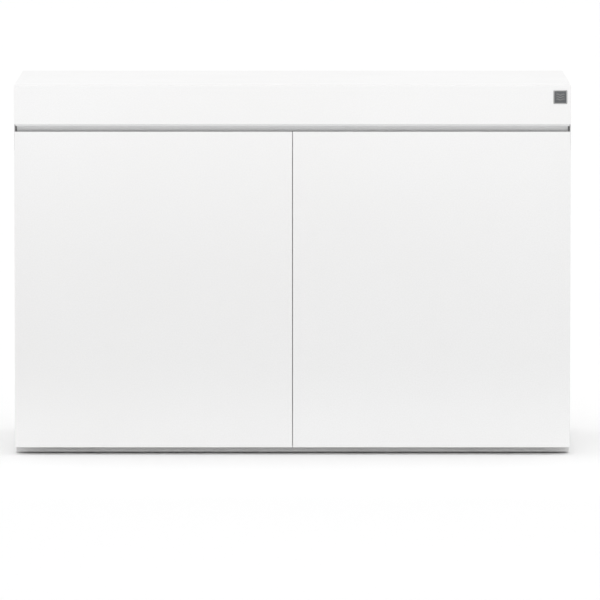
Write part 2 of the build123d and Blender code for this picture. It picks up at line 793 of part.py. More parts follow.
def plinth_strip(x, y):
    strip_board = board(x, y, (FOOT_CLEARANCE, PLINTH_TOP))
    return drilled(strip_board, socket_cuts() + plinth_screws(screw_body))


def plinth_front_rail():
    return plinth_strip((-PLINTH_RIGHT, PLINTH_RIGHT), (PLINTH_FRONT, PLINTH_FRONT + PLINTH_WIDTH))


def plinth_rear_rail():
    return plinth_strip((-PLINTH_RIGHT, PLINTH_RIGHT), (PLINTH_REAR - PLINTH_WIDTH, PLINTH_REAR))


def plinth_cross_rails():
    half = PLINTH_WIDTH / 2
    y = (PLINTH_FRONT + PLINTH_WIDTH, PLINTH_REAR - PLINTH_WIDTH)
    return grouped([plinth_strip((x - half, x + half), y) for x in CROSS_RAIL_CENTRES])


def foot_pad(x, y):
    """A round pad with a rubber-like sole and a socket for the stem's end."""
    bore = STEM_RADIUS + RUNNING_CLEARANCE
    outline = [
        (0, 0),
        (18.0, 0),
        (19.0, 1.0),
        (18.0, 2.4),
        (10.0, 3.2),
        (9.0, 4.6),
        (bore, 4.6),
        (bore, PAD_FLOOR),
        (0, PAD_FLOOR),
    ]
    return turned((x, y, 0), (0, 0, 1), outline)


def foot_stem(x, y):
    """The threaded stem, with a hexagon socket in its top for a key from inside."""
    low = PAD_FLOOR + RUNNING_CLEARANCE
    top = FLOOR_TOP - 3.0
    outline = [
        (0, low),
        (STEM_RADIUS, low),
        (STEM_RADIUS, top - 1.0),
        (STEM_RADIUS - 1.0, top),
        (0, top),
    ]
    stem = turned((x, y, 0), (0, 0, 1), outline)
    key = extrude(Pos(x, y, top - 5.0) * RegularPolygon(2.4, 6), amount=6.0)
    return stem - key


def foot_access_caps():
    """Plastic caps in the cabinet's floor over the four corner feet."""
    clip = ACCESS_HOLE_RADIUS - RUNNING_CLEARANCE
    outline = [
        (0, BOARD + 1.2),
        (9.5, BOARD + 1.2),
        (10.5, BOARD),
        (clip, BOARD),
        (clip, BOARD - 2.0),
        (clip - 1.45, BOARD - 2.0),
        (clip - 1.45, BOARD),
        (0, BOARD),
    ]
    corners = [(x, y) for x, y in FEET.values() if x]
    return [turned((x, y, PLINTH_TOP), (0, 0, 1), outline) for x, y in corners]


# ------------------------------------------------------------------------- output

def all_parts():
    sites = fitting_sites()
    arms = [arm(height) for height in HINGE_HEIGHTS]
    plates = [mounting_plate(height) for height in HINGE_HEIGHTS]
    adjusters = [piece for height in HINGE_HEIGHTS for piece in arm_screws(height)]
    parts = {
        "top_panel": top_panel(),
        "fascia_panel": fascia_panel(),
        "badge_plate": badge_plate(),
        "left_side_panel": left_side_panel(),
        "right_side_panel": right_side_panel(),
        "centre_divider": centre_divider(),
        "bottom_panel": bottom_panel(),
        "left_back_panel": left_back_panel(),
        "right_back_panel": right_back_panel(),
        "front_top_rail": front_top_rail(),
        "rear_top_rails": rear_top_rails(),
        "hose_slot_trims": hose_slot_trims(),
        "cable_grommets": cable_grommets(),
        "finger_channel": finger_channel(),
        "finger_channel_end_caps": finger_channel_end_caps(),
        "finger_channel_brackets": finger_channel_brackets(),
        "finger_channel_screws": grouped(channel_screws()),
        "carcass_cam_locks": grouped([cam_lock(site) for site in sites]),
        "carcass_cam_bolts": grouped([cam_bolt_piece(site) for site in sites]),
        "carcass_dowels": grouped(dowels()),
        "fascia_screws": grouped(fascia_screws()),
        "back_panel_screws": grouped(back_panel_screws()),
        "plinth_screws": grouped(plinth_screws()),
        "plinth_front_rail": plinth_front_rail(),
        "plinth_rear_rail": plinth_rear_rail(),
        "plinth_cross_rails": plinth_cross_rails(),
        "foot_sockets": grouped(foot_sockets()),
        "foot_access_caps": grouped(foot_access_caps()),
        "hinge_arms": grouped(both_sides(arms)),
        "hinge_mounting_plates": grouped(both_sides(plates)),
        "hinge_plate_screws": grouped(both_sides(hinge_plate_screws())),
        "hinge_adjusting_screws": grouped(both_sides(adjusters)),
    }
    left_door_parts = {
        "door": [left_door()],
        "hinge_cups": [hinge_cup(height) for height in HINGE_HEIGHTS],
        "hinge_pins": [hinge_pin(height) for height in HINGE_HEIGHTS],
        "cup_screws": left_cup_screws(),
        "door_bumpers": door_bumpers(),
    }
    for name, pieces in left_door_parts.items():
        parts["left_" + name] = grouped(pieces)
        parts["right_" + name] = grouped(mirrored(pieces))
    for name, (x, y) in FEET.items():
        parts[name + "_foot_pad"] = foot_pad(x, y)
        parts[name + "_foot_stem"] = foot_stem(x, y)
    return parts


os.makedirs("parts", exist_ok=True)
for node, shape in all_parts().items():
    export_step(shape, os.path.join("parts", node + ".step"))
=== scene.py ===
"""A white two-door aquarium stand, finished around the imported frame. Metres, +Z up, front -Y."""
import json
from math import cos, pi, radians, sin, tan, tau

import bpy
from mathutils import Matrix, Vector

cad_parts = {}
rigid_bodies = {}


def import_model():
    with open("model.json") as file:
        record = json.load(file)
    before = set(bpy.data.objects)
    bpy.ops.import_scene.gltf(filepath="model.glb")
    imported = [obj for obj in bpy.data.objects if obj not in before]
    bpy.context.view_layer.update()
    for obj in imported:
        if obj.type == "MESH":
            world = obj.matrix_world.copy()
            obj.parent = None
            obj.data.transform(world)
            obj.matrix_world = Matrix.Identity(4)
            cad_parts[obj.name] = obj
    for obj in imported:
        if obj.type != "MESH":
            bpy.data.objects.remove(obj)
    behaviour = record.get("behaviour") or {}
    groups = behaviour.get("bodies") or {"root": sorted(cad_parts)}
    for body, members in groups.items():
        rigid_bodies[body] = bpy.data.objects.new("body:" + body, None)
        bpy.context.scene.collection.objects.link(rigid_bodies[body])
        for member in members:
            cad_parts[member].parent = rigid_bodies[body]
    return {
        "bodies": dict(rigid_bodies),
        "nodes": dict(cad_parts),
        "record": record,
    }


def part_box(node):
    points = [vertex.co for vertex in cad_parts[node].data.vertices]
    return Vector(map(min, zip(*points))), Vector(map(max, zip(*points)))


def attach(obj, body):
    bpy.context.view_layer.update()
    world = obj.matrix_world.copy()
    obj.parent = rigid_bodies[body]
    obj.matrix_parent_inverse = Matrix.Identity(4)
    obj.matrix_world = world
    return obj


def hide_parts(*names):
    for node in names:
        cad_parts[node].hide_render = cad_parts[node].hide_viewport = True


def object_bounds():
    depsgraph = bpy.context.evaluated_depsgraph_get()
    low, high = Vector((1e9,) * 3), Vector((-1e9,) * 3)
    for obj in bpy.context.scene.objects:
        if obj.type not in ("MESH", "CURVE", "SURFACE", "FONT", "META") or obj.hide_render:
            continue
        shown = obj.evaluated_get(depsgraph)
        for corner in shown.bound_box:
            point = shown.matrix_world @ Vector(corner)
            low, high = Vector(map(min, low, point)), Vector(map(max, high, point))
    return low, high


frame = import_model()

CAD_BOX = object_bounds()
MM = 0.001
SLOTS = {part["node"]: part["material_slot"] for part in frame["record"]["subparts"]}

# ------------------------------------------------------------------ driving values
HOSE_SLOT_LENGTH = 200 * MM
TRIM_LIP = 5 * MM             # how far the rubber trim reaches over the board
TRIM_WEB = 2 * MM             # its thickness inside the slot
TRIM_FACE = 1.5 * MM          # how far a lip stands off the board
TRIM_BUTT_GAP = 0.3 * MM      # between the trim's two cut ends

GROMMET_BORE = 25 * MM
GROMMET_HOLE = 30 * MM
GROMMET_FLANGE = 35 * MM

STEM_RADIUS = 4 * MM
THREAD_PITCH = 1.25 * MM
THREAD_DEPTH = 0.6 * MM

SOCKET_CORNER = 2.4 * MM      # hexagon socket in a stem's top, centre to corner
SOCKET_DEPTH = 5 * MM

BUMPER_RADIUS = 3.4 * MM

FLOOR_REACH = 90.0
WORLD_STRENGTH = 1.0
OVERHEAD_STRENGTH = 0.26
UPPER_FRONT_POWER, UPPER_FRONT_SPREAD = 0.37, 25
LOWER_FRONT_POWER, LOWER_FRONT_SPREAD = 0.26, 18

CAMERA_DISTANCE = 18.45       # from the front of the doors
CAMERA_ELEVATION = radians(4.5)
CAMERA_LENS = 513.0
CAMERA_AIM = Vector((0.0162, CAD_BOX[0].y, 0.3356))


# ------------------------------------------------------------------ materials
class Paint:
    """A material under construction: a Principled shader and the nodes that feed it."""

    def __init__(self, name, roughness=0.5, metallic=0.0, ior=1.5):
        self.material = bpy.data.materials.new(name)
        self.material.use_nodes = True
        self.nodes = self.material.node_tree.nodes
        self.links = self.material.node_tree.links
        self.shader = self.nodes["Principled BSDF"]
        self.shader.inputs["Roughness"].default_value = roughness
        self.shader.inputs["Metallic"].default_value = metallic
        self.shader.inputs["IOR"].default_value = ior
        self.place = self.add("ShaderNodeTexCoord").outputs["Object"]
        self.normal = None

    def add(self, kind, inputs=None, **settings):
        node = self.nodes.new(kind)
        for key, value in settings.items():
            setattr(node, key, value)
        for key, value in (inputs or {}).items():
            self.feed(node.inputs[key], value)
        return node

    def feed(self, socket, value):
        if isinstance(value, bpy.types.NodeSocket):
            self.links.new(value, socket)
        else:
            socket.default_value = value

    def stretched(self, scale):
        """Object coordinates scaled by axis, for grain and brushing."""
        inputs = {"Vector": self.place, "Scale": scale}
        return self.add("ShaderNodeMapping", inputs).outputs["Vector"]

    def noise(self, scale, detail=2.0, rough=0.5, place=None):
        inputs = {
            "Vector": place or self.place,
            "Scale": scale,
            "Detail": detail,
            "Roughness": rough,
        }
        return self.add("ShaderNodeTexNoise", inputs).outputs["Fac"]

    def cells(self, scale):
        inputs = {"Vector": self.place, "Scale": scale}
        return self.add("ShaderNodeTexVoronoi", inputs).outputs["Distance"]

    def span(self, value, low, high, start=0.3, end=0.7):
        """Stretches a texture's middle values over a range."""
        inputs = {
            "Value": value,
            "From Min": start,
            "From Max": end,
            "To Min": low,
            "To Max": high,
        }
        return self.add("ShaderNodeMapRange", inputs).outputs["Result"]

    def mix(self, factor, first, second):
        """Colour mixed from first to second by a factor."""
        node = self.add("ShaderNodeMix", data_type="RGBA")
        colours = [socket for socket in node.inputs if socket.type == "RGBA"]
        self.feed(node.inputs["Factor"], factor)
        self.feed(colours[0], first)
        self.feed(colours[1], second)
        return next(socket for socket in node.outputs if socket.type == "RGBA")

    def product(self, first, second):
        node = self.add("ShaderNodeMath", operation="MULTIPLY")
        self.feed(node.inputs[0], first)
        self.feed(node.inputs[1], second)
        return node.outputs["Value"]

    def edges(self, radius):
        """1 on edges sharper than the radius, 0 on flat stretches."""
        soft = self.add("ShaderNodeBevel", {"Radius": radius}, samples=4).outputs["Normal"]
        true = self.add("ShaderNodeNewGeometry").outputs["Normal"]
        dot = self.add("ShaderNodeVectorMath", operation="DOT_PRODUCT")
        self.feed(dot.inputs[0], soft)
        self.feed(dot.inputs[1], true)
        return self.span(dot.outputs["Value"], 1.0, 0.0, 0.75, 0.99)

    def bump(self, height, distance, strength=1.0):
        """Adds a relief of that depth, in metres, over the reliefs before it."""
        inputs = {"Height": height, "Distance": distance, "Strength": strength}
        if self.normal:
            inputs["Normal"] = self.normal
        self.normal = self.add("ShaderNodeBump", inputs).outputs["Normal"]

    def colour(self, value):
        self.feed(self.shader.inputs["Base Color"], value)

    def roughness(self, value):
        self.feed(self.shader.inputs["Roughness"], value)

    def done(self):
        if self.normal:
            self.feed(self.shader.inputs["Normal"], self.normal)
        return self.material


def grey(level, warm=0.0):
    """A near-neutral colour, a little warmer or cooler."""
    return (level * (1 + warm), level, level * (1 - warm), 1.0)


def white_lacquer():
    """Sprayed satin lacquer: a faint drift of tone, orange peel with painted shade on its relief,
    and thinner paint on edges.
    """
    paint = Paint("white_lacquer")
    broad = paint.noise(1.7, 3.0)
    face = paint.mix(paint.span(broad, 0.0, 1.0), grey(0.824, 0.002), grey(0.848, -0.002))
    peel = paint.noise(330.0, 1.0)
    # painted shade: the colour darkens in step with the orange-peel relief, standing in for its
    # shading
    face = paint.mix(paint.span(peel, 0.0, 0.5), face, grey(0.79, 0.006))
    paint.colour(paint.mix(paint.product(paint.edges(1.5 * MM), 0.5), face, grey(0.80, 0.01)))
    haze = paint.noise(9.0, 4.0, 0.6)
    paint.roughness(paint.span(haze, 0.29, 0.37))
    paint.bump(paint.noise(14.0, 1.0), 0.05 * MM)
    paint.bump(peel, 0.018 * MM)
    return paint.done()


def white_melamine():
    """Melamine-faced board: a pearl emboss with painted shade on its relief, and a slightly greyer
    white.
    """
    paint = Paint("white_melamine")
    broad = paint.noise(2.3, 3.0)
    face = paint.mix(paint.span(broad, 0.0, 1.0), grey(0.80), grey(0.83, -0.003))
    pearl = paint.cells(620.0)
    # painted shade: the colour darkens in step with the pearl emboss, standing in for the shading
    # of its relief
    face = paint.mix(paint.span(pearl, 0.0, 0.6, 0.15, 0.65), face, grey(0.74, 0.004))
    paint.colour(paint.mix(paint.product(paint.edges(1.2 * MM), 0.6), face, grey(0.72, 0.01)))
    paint.roughness(paint.span(paint.noise(30.0, 3.0), 0.40, 0.50))
    paint.bump(pearl, 0.05 * MM, 0.7)
    paint.bump(paint.noise(1500.0, 2.0), 0.01 * MM)
    return paint.done()


def plinth_board():
    """Matt white laminate with a faint grain and dust."""
    paint = Paint("plinth_board")
    grain = paint.noise(1.0, 3.0, 0.6, paint.stretched((9.0, 160.0, 160.0)))
    face = paint.mix(paint.span(grain, 0.0, 1.0), grey(0.72, 0.003), grey(0.77, 0.003))
    dust = paint.span(paint.noise(24.0, 5.0, 0.7), 0.0, 0.35, 0.5, 0.75)
    paint.colour(paint.mix(dust, face, grey(0.62, 0.02)))
    paint.roughness(paint.span(grain, 0.45, 0.6))
    paint.bump(grain, 0.03 * MM, 0.5)
    return paint.done()


def anodised_aluminium():
    """Clear-anodised aluminium, brushed along its length."""
    paint = Paint("anodised_aluminium", metallic=1.0)
    lines = paint.noise(1.0, 3.0, 0.6, paint.stretched((14.0, 2600.0, 2600.0)))
    dies = paint.noise(1.0, 1.0, 0.5, paint.stretched((0.6, 420.0, 420.0)))
    face = paint.mix(paint.span(lines, 0.0, 1.0), grey(0.78, -0.006), grey(0.86, -0.003))
    paint.colour(paint.mix(paint.span(dies, 0.0, 0.4), face, grey(0.74, 0.0)))
    paint.roughness(paint.span(lines, 0.30, 0.37))
    paint.bump(lines, 0.006 * MM, 0.7)
    paint.bump(dies, 0.01 * MM, 0.6)
    return paint.done()


def moulded(name, dark, light, roughness, grain):
    """Injection-moulded plastic with a spark-eroded grain, and edges painted lighter: edge wear
    and a painted highlight.
    """
    paint = Paint(name)
    flow = paint.noise(60.0, 3.0)
    face = paint.mix(paint.span(flow, 0.0, 1.0), dark, light)
    # edges lighter than the face: partly edge wear, partly a painted highlight
    worn_edge_and_highlight = tuple(min(1.0, 1.35 * channel) for channel in light[:3]) + (1.0,)
    paint.colour(paint.mix(paint.product(paint.edges(0.8 * MM), 0.5), face, worn_edge_and_highlight))
    paint.roughness(paint.span(flow, roughness - 0.05, roughness + 0.06))
    paint.bump(paint.noise(2600.0, 2.0, 0.6), grain, 0.8)
    return paint.done()


def grey_plastic():
    return moulded("grey_plastic", grey(0.48), grey(0.54), 0.45, 0.02 * MM)


def dark_plastic():
    return moulded("dark_plastic", grey(0.030), grey(0.042), 0.42, 0.02 * MM)


def black_foot_plastic():
    return moulded("black_foot_plastic", grey(0.022), grey(0.034), 0.5, 0.03 * MM)


def black_rubber():
    """Extruded rubber: matt, with faint die lines and dust."""
    paint = Paint("black_rubber", ior=1.45)
    dust = paint.span(paint.noise(45.0, 5.0, 0.7), 0.0, 0.5, 0.48, 0.8)
    paint.colour(paint.mix(dust, grey(0.022), grey(0.075, 0.02)))
    paint.roughness(paint.span(paint.noise(120.0, 3.0), 0.62, 0.8))
    paint.bump(paint.noise(1800.0, 3.0, 0.6), 0.03 * MM, 0.6)
    return paint.done()


def plated(name, dark, light, roughness, spangle, relief):
    """Plated steel, with cloudy plating and edges painted lighter: rubbed plating and a painted
    highlight.
    """
    paint = Paint(name, metallic=1.0)
    cloud = paint.noise(spangle, 4.0, 0.6)
    face = paint.mix(paint.span(cloud, 0.0, 1.0), dark, light)
    # edges lighter than the face: partly rubbed plating, partly a painted highlight
    paint.colour(paint.mix(paint.product(paint.edges(0.5 * MM), 0.6), face, grey(0.85)))
    paint.roughness(paint.span(cloud, roughness - 0.05, roughness + 0.06))
    paint.bump(paint.noise(1200.0, 3.0, 0.6), relief, 0.7)
    return paint.done()


def nickel_steel():
    return plated("nickel_steel", grey(0.56, 0.02), grey(0.68, 0.015), 0.19, 90.0, 0.006 * MM)


def zinc_steel():
    return plated("zinc_steel", grey(0.50, -0.01), grey(0.64, 0.02), 0.36, 260.0, 0.012 * MM)


def stem_steel():
    return plated("stem_steel", grey(0.48, 0.0), grey(0.62, 0.02), 0.36, 180.0, 0.012 * MM)


def beech():
    """Turned beech: straight grain with short dark flecks."""
    paint = Paint("beech", roughness=0.6)
    grain = paint.noise(1.0, 4.0, 0.6, paint.stretched((900.0, 900.0, 60.0)))
    flecks = paint.span(paint.noise(900.0, 2.0), 0.0, 0.6, 0.6, 0.8)
    face = paint.mix(paint.span(grain, 0.0, 1.0), (0.46, 0.29, 0.17, 1), (0.62, 0.43, 0.27, 1))
    paint.colour(paint.mix(flecks, face, (0.26, 0.14, 0.08, 1)))
    paint.bump(grain, 0.05 * MM)
    return paint.done()


def badge_metal():
    """A dark satin anodised plate, brushed across."""
    paint = Paint("badge_metal", metallic=1.0)
    lines = paint.noise(1.0, 3.0, 0.6, paint.stretched((60.0, 60.0, 3000.0)))
    paint.colour(paint.mix(paint.span(lines, 0.0, 1.0), grey(0.36), grey(0.46)))
    paint.roughness(paint.span(lines, 0.29, 0.42))
    paint.bump(lines, 0.006 * MM, 0.7)
    return paint.done()


def badge_chrome():
    """Dark chrome of the badge's raised lines."""
    paint = Paint("badge_chrome", metallic=1.0)
    cloud = paint.noise(500.0, 3.0, 0.6)
    paint.colour(paint.mix(paint.span(cloud, 0.0, 1.0), grey(0.20), grey(0.28)))
    paint.roughness(paint.span(cloud, 0.29, 0.38))
    paint.bump(cloud, 0.006 * MM, 0.5)
    return paint.done()


def badge_enamel():
    """Dark blue-grey enamel in the badge's recess."""
    paint = Paint("badge_enamel", roughness=0.3)
    flecks = paint.noise(700.0, 3.0, 0.6)
    low, high = (0.070, 0.074, 0.078, 1), (0.120, 0.124, 0.128, 1)
    paint.colour(paint.mix(paint.span(flecks, 0.0, 1.0), low, high))
    paint.roughness(paint.span(paint.noise(200.0), 0.29, 0.42))
    paint.bump(flecks, 0.01 * MM, 0.5)
    return paint.done()


def clear_silicone():
    """Soft clear silicone, slightly milky."""
    paint = Paint("clear_silicone", ior=1.41)
    paint.shader.inputs["Transmission Weight"].default_value = 0.85
    cloud = paint.noise(400.0, 3.0)
    paint.colour(paint.mix(paint.span(cloud, 0.0, 1.0), grey(0.86), grey(0.93)))
    paint.roughness(paint.span(cloud, 0.12, 0.24))
    paint.bump(paint.noise(900.0, 2.0), 0.01 * MM, 0.5)
    return paint.done()


MAKERS = (
    white_lacquer,
    white_melamine,
    plinth_board,
    anodised_aluminium,
    grey_plastic,
    dark_plastic,
    black_foot_plastic,
    black_rubber,
    nickel_steel,
    zinc_steel,
    stem_steel,
    beech,
    badge_metal,
    badge_chrome,
    badge_enamel,
    clear_silicone,
)
MATERIALS = {make.__name__: make() for make in MAKERS}


def dress(piece, material):
    """Gives every material slot of a piece the same material."""
    if not piece.material_slots:
        piece.data.materials.append(None)
    for place in piece.material_slots:
        place.material = MATERIALS[material]


# ------------------------------------------------------------------ mesh helpers
def piece_from(name, vertices, faces, body, slot, material=None, crease=35.0):
    """A mesh piece in the part's frame that rides on a body, smooth except at sharp edges."""
    mesh = bpy.data.meshes.new(name)
    mesh.from_pydata(vertices, [], faces)
    mesh.validate()
    mesh.shade_smooth()
    mesh.set_sharp_from_angle(angle=radians(crease))
    piece = bpy.data.objects.new(name, mesh)
    bpy.context.scene.collection.objects.link(piece)
    dress(piece, material or slot)
    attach(piece, body)
    return piece


def rounded(points, radius, steps=4, closed=True):
    """The outline with each corner turned into a short curve."""
    result = []
    for index, point in enumerate(points):
        corner = Vector(point)
        if not closed and index in (0, len(points) - 1):
            result.append(corner)
            continue
        before = Vector(points[index - 1]) - corner
        after = Vector(points[(index + 1) % len(points)]) - corner
        room = 0.45 * min(before.length, after.length)
        reach = min(radius / tan(before.angle(after) / 2), room)
        start = corner + before.normalized() * reach
        end = corner + after.normalized() * reach
        for step in range(steps + 1):
            t = step / steps
            result.append(start * (1 - t) ** 2 + corner * (2 * t * (1 - t)) + end * t * t)
    return result


def loft(rings, closed_loft=False):
    """Vertices and faces over a row of rings with the same number of points."""
    count = len(rings[0])
    vertices = [point for ring in rings for point in ring]
    faces = []
    rows = len(rings) if closed_loft else len(rings) - 1
    for row in range(rows):
        here, there = row * count, (row + 1) % len(rings) * count
        for column in range(count):
            after = (column + 1) % count
            faces.append((here + column, here + after, there + after, there + column))
    return vertices, faces


def capped(vertices, faces, count):
    """Closes a loft's first and last rings with one face each."""
    faces.append(tuple(reversed(range(count))))
    faces.append(tuple(range(len(vertices) - count, len(vertices))))
    return vertices, faces


def turned_rings(outline, centre, axis="Z", steps=96, relief=None):
    """Rings of an outline of (radius, height) turned about an axis through the centre."""
    rings = []
    for radius, height in outline:
        ring = []
        for step in range(steps):
            angle = tau * step / steps
            lift = height + (relief(radius, angle) if relief else 0.0)
            if axis == "Z":
                offset = (radius * cos(angle), radius * sin(angle), lift)
            else:
                offset = (radius * cos(angle), lift, -radius * sin(angle))
            ring.append(Vector(centre) + Vector(offset))
        rings.append(ring)
    return rings


def middle(low, high):
    return (low + high) / 2


# ------------------------------------------------------------------ the CAD nodes
def dress_frame():
    for name, node in frame["nodes"].items():
        dress(node, SLOTS[name])


# ------------------------------------------------------------------ trims in the back
def slot_path(centre, length, height, steps=24):
    """Points and outward directions round a slot with round ends, from its lowest middle point."""
    radius = height / 2
    half = length / 2 - radius
    path = [((0.0, -radius), (0.0, -1.0))]
    for side, start in ((1, -pi / 2), (-1, pi / 2)):
        for step in range(steps + 1):
            angle = start + pi * step / steps
            out = (cos(angle), sin(angle))
            path.append(((side * half + radius * out[0], radius * out[1]), out))
    return [
        (Vector((centre.x + x, 0, centre.z + z)), Vector((out_x, 0, out_z)))
        for (x, z), (out_x, out_z) in path
    ]


def trim_profile(front, rear):
    """The trim's section as (outward, y): a web in the slot and a bulb lip on each face."""
    corners = [
        (-TRIM_WEB, front - TRIM_FACE),
        (TRIM_LIP, front - TRIM_FACE),
        (TRIM_LIP, front),
        (0.0, front),
        (0.0, rear),
        (TRIM_LIP, rear),
        (TRIM_LIP, rear + TRIM_FACE),
        (1.6 * MM, rear + TRIM_FACE),
        (1.1 * MM, rear + TRIM_FACE - 0.5 * MM),
        (0.6 * MM, rear + TRIM_FACE),
        (-TRIM_WEB, rear + TRIM_FACE),
        (-TRIM_WEB, middle(front, rear) + 1.0 * MM),
        (-TRIM_WEB + 0.5 * MM, middle(front, rear)),
        (-TRIM_WEB, middle(front, rear) - 1.0 * MM),
    ]
    return rounded(corners, 0.9 * MM, 3)


def hose_trims():
    """The rubber edging of both hose slots, cut to length and butted at the bottom."""
    low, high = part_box("hose_slot_trims")
    height = high.z - low.z - 2 * TRIM_LIP
    reach = HOSE_SLOT_LENGTH / 2 + TRIM_LIP
    profile = trim_profile(low.y + TRIM_FACE, high.y - TRIM_FACE)
    for side, name in ((-1, "left_hose_trim"), (1, "right_hose_trim")):
        centre = Vector((side * (high.x - reach), 0, middle(low.z, high.z)))
        rings = []
        (bottom, down), *path = slot_path(centre, HOSE_SLOT_LENGTH, height)
        butt = Vector((TRIM_BUTT_GAP / 2, 0, 0))
        for place, out in [(bottom + butt, down), *path, (bottom - butt, down)]:
            rings.append([place + out * p.x + Vector((0, p.y, 0)) for p in profile])
        vertices, faces = capped(*loft(rings), len(profile))
        trim = piece_from(name, vertices, faces, "carcass", "black_rubber")
        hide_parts("hose_slot_trims")


def cable_grommet_pieces():
    """Round grommets: a dished flange outside, a tube with snap ribs, and a lead-in."""
    low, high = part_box("cable_grommets")
    inside, outside = low.y, high.y
    depth = outside - inside
    outline = [
        (GROMMET_BORE, 1.2 * MM),
        (GROMMET_BORE + 1.5 * MM, 0.0),
        (GROMMET_HOLE + 1.0 * MM, 0.0),
        (GROMMET_HOLE + 1.0 * MM, 1.5 * MM),
        (GROMMET_HOLE, 1.5 * MM),
        (GROMMET_HOLE, depth - 1.5 * MM),
        (GROMMET_FLANGE, depth - 1.5 * MM),
        (GROMMET_FLANGE, depth - 1.0 * MM),
        (GROMMET_HOLE + 2.0 * MM, depth),
        (GROMMET_HOLE, depth - 0.1 * MM),
        (GROMMET_HOLE - 1.4 * MM, depth - 0.7 * MM),
        (GROMMET_BORE + 1.6 * MM, depth - 0.2 * MM),
        (GROMMET_BORE, depth - 1.4 * MM),
    ]
    profile = rounded(outline, 0.5 * MM, 3)
    reach = GROMMET_FLANGE
    for side, name in ((-1, "left_cable_grommet"), (1, "right_cable_grommet")):
        centre = Vector((side * (high.x - reach), inside, middle(low.z, high.z)))
        rings = turned_rings(profile, centre, "Y")
        vertices, faces = loft(rings, closed_loft=True)
        grommet = piece_from(name, vertices, faces, "carcass", "dark_plastic")
        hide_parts("cable_grommets")


# ------------------------------------------------------------------ feet
def foot_pad(name):
    """A round moulded pad with ribs on its shoulder and grooves in its sole."""
    low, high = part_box(name)
    centre = Vector((middle(low.x, high.x), middle(low.y, high.y), low.z))
    radius, height = (high.x - low.x) / 2, high.z - low.z
    bore = STEM_RADIUS + 0.05 * MM
    shoulder, collar = 10.0 * MM, 9.0 * MM
    floor = 1.6 * MM
    outline = [
        (0.3 * MM, 0.4 * MM),
        (radius * 0.35, 0.4 * MM),
        (radius * 0.38, 0.0),
        (radius * 0.60, 0.0),
        (radius * 0.62, 0.5 * MM),
        (radius * 0.68, 0.5 * MM),
        (radius * 0.70, 0.0),
        (radius * 0.94, 0.0),
        (radius, 1.0 * MM),
        (radius * 0.95, 2.3 * MM),
        (shoulder, 3.1 * MM),
        (collar, height),
        (bore, height),
        (bore, floor),
        (0.3 * MM, floor),
    ]

    def ribs(r, angle):
        on_shoulder = collar < r < radius * 0.96
        return 0.45 * MM * max(0.0, cos(12 * angle)) ** 6 if on_shoulder else 0.0

    profile = rounded(outline, 0.4 * MM, 2, closed=False)
    top = next(i for i, p in enumerate(profile) if p.x > radius * 0.99)
    rings = turned_rings(profile[:top], centre)
    rings += turned_rings(profile[top:], centre, relief=ribs)
    count = len(rings[0])
    vertices, faces = capped(*loft(rings), count)
    pad = piece_from(name + "_moulded", vertices, faces, name, "black_foot_plastic")
    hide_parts(name)


def hexagon_radius(angle, corner):
    """Distance to a hexagon's side in a direction."""
    within = angle % (pi / 3) - pi / 6
    return corner * cos(pi / 6) / cos(within)


def thread_height(turn_phase):
    """A rounded thread form: 1 at the crest and 0 at the root."""
    return min(1.0, max(0.0, 1.15 - 2.3 * abs(turn_phase - 0.5)))


def foot_stem(name):
    """A threaded stem with a hexagon socket in its top."""
    low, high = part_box(name)
    centre = Vector((middle(low.x, high.x), middle(low.y, high.y), 0))
    steps, rows_in_turn = 36, 8
    start, end = low.z + 3.6 * MM, high.z - 1.2 * MM
    levels = [low.z, start - 0.4 * MM]
    rows = int((end - start) / THREAD_PITCH) * rows_in_turn
    levels += [start + row * THREAD_PITCH / rows_in_turn for row in range(rows)]
    levels += [end, high.z]
    rings = []
    for z in levels:
        chamfer = 0.5 * MM if z == high.z else 0.0
        ring = []
        for step in range(steps):
            angle = tau * step / steps
            phase = (z / THREAD_PITCH - angle / tau) % 1.0
            cut = 1.0 - thread_height(phase) if start <= z < end else 0.6
            radius = STEM_RADIUS - THREAD_DEPTH * cut - chamfer
            ring.append(centre + Vector((radius * cos(angle), radius * sin(angle), z)))
        rings.append(ring)
    for z in (high.z, high.z - SOCKET_DEPTH):
        ring = []
        for step in range(steps):
            angle = tau * step / steps
            radius = hexagon_radius(angle, SOCKET_CORNER)
            ring.append(centre + Vector((radius * cos(angle), radius * sin(angle), z)))
        rings.append(ring)
    vertices, faces = capped(*loft(rings), steps)
    stem = piece_from(name + "_threaded", vertices, faces, name, "stem_steel", crease=28.0)
    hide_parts(name)


def feet():
    for name in frame["bodies"]:
        if name.endswith("_foot_pad"):
            foot_pad(name)
        if name.endswith("_foot_stem"):
            foot_stem(name)


# ------------------------------------------------------------------ bumpers
def bumpers(node, body):
    """Two soft domes on the back of a door, at its free edge."""
    low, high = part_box(node)
    x, base, height = middle(low.x, high.x), low.y, high.y - low.y
    outline = [(0.02 * MM, 0.0), (BUMPER_RADIUS, 0.0)]
    for step in range(1, 12):
        angle = pi / 2 * step / 12
        outline.append((BUMPER_RADIUS * cos(angle), height * sin(angle) ** 0.9))
    outline.append((0.02 * MM, height))
    for z, place in ((low.z + BUMPER_RADIUS, "lower"), (high.z - BUMPER_RADIUS, "upper")):
        rings = turned_rings(outline, Vector((x, base, z)), "Y", 40)
        vertices, faces = capped(*loft(rings), 40)
        dome = piece_from(f"{body}_{place}_bumper", vertices, faces, body, "clear_silicone")
        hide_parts(node)


# ------------------------------------------------------------------ badge
def rounded_square(centre, half, radius, y, steps=6):
    """A ring of points round a square with round corners, at depth y."""
    ring = []
    for corner in range(4):
        start = corner * pi / 2
        cx = centre.x + (half - radius) * (1 if corner in (0, 3) else -1)
        cz = centre.z + (half - radius) * (1 if corner in (0, 1) else -1)
        for step in range(steps + 1):
            angle = start + pi / 2 * step / steps
            ring.append(Vector((cx + radius * cos(angle), y, cz + radius * sin(angle))))
    return ring


